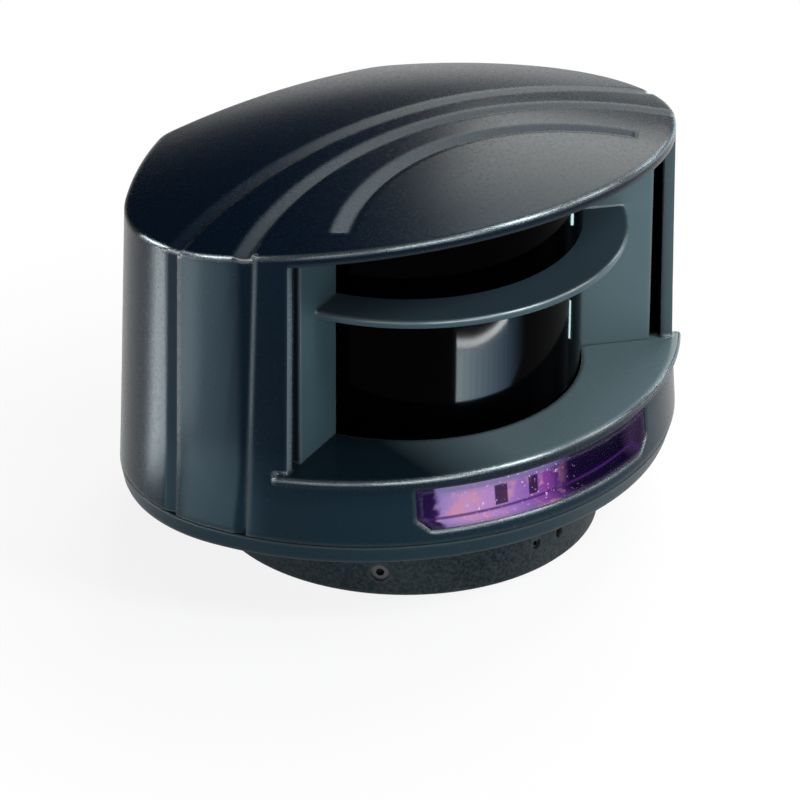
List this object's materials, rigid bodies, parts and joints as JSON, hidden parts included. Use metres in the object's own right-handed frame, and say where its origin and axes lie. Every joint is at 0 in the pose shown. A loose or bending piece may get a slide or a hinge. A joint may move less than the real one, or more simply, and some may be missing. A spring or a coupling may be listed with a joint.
{
  "type": "laser door sensor",
  "caption": "Dark moulded laser scanner for doors: domed hood with curved ridges, black scanning windows, violet indicator strip, on a round tilting bracket.",
  "frame": {"origin": "centre of the bracket's flat mounting face", "axes": "+Z away from the mounting face, -Y the way the scanning windows face, +X to the right seen from behind"},
  "size_m": [0.1266, 0.1026, 0.0893],
  "materials": {
    "hood_plastic": "dark charcoal moulded plastic, fine grain, satin",
    "base_plastic": "near-black moulded plastic, fine grain",
    "bracket_plastic": "dark grey moulded plastic, grained",
    "seat_plastic": "dark grey moulded plastic",
    "bezel_plastic": "dark slate moulded plastic, satin",
    "window_plastic": "black infrared window, high gloss",
    "lens_plastic": "violet tinted window, gloss",
    "gasket_rubber": "black rubber, matt",
    "inlet_rubber": "black rubber, matt",
    "screw_steel": "plain steel",
    "black_steel": "blackened steel",
    "shaft_steel": "ground steel",
    "frame_metal": "die-cast aluminium",
    "mirror_face": "polished mirror faces",
    "rotor_metal": "turned steel",
    "encoder_glass": "clear disc with dark marks",
    "motor_core": "laminated core with copper windings",
    "circuit_board": "green circuit board",
    "chip_plastic": "black moulded chip",
    "connector_plastic": "off-white moulded connector",
    "light_plastic": "clear light",
    "optic_glass": "clear coated glass",
    "laser_metal": "turned brass"
  },
  "bodies": {
    "bracket": {"bracket_base": "bracket_plastic", "lock_screw": "black_steel", "tilt_lock_screws": "black_steel"},
    "swivel": {"swivel_plate": "seat_plastic", "tilt_pins": "screw_steel"},
    "head": {"base_housing": "base_plastic", "housing_gasket": "gasket_rubber", "cover": "hood_plastic", "cover_screws": "screw_steel", "scanner_bezel": "bezel_plastic", "lower_window": "window_plastic", "upper_window": "window_plastic", "indicator_lens": "lens_plastic", "indicator_board": "circuit_board", "status_lights": "light_plastic", "remote_receivers": "chip_plastic", "chassis": "frame_metal", "chassis_screws": "screw_steel", "motor_stator": "motor_core", "motor_bearings": "shaft_steel", "encoder_sensor": "chip_plastic", "laser_module": "laser_metal", "laser_lens": "optic_glass", "receiver_lens": "optic_glass", "receiver_board": "circuit_board", "photodiode": "chip_plastic", "main_board": "circuit_board", "board_chips": "chip_plastic", "board_connector": "connector_plastic", "board_standoffs": "screw_steel", "board_screws": "screw_steel", "cable_inlet": "inlet_rubber"},
    "mirror": {"mirror_drum": "mirror_face", "mirror_shaft": "shaft_steel", "rotor_cup": "rotor_metal", "encoder_disc": "encoder_glass"}
  },
  "joints": [
    {"name": "head_swivel", "type": "hinge", "parent": "bracket", "child": "swivel", "pos_m": [0, 0, 0.003], "axis": [0, 0, 1], "range_deg": [-5, 5]},
    {"name": "head_tilt", "type": "hinge", "parent": "swivel", "child": "head", "pos_m": [0, 0, 0.0115], "axis": [1, 0, 0], "range_deg": [-3, 3]},
    {"name": "mirror_spin", "type": "hinge", "parent": "head", "child": "mirror", "pos_m": [0, 0, 0.03], "axis": [0, 0, 1], "continuous": true}
  ]
}
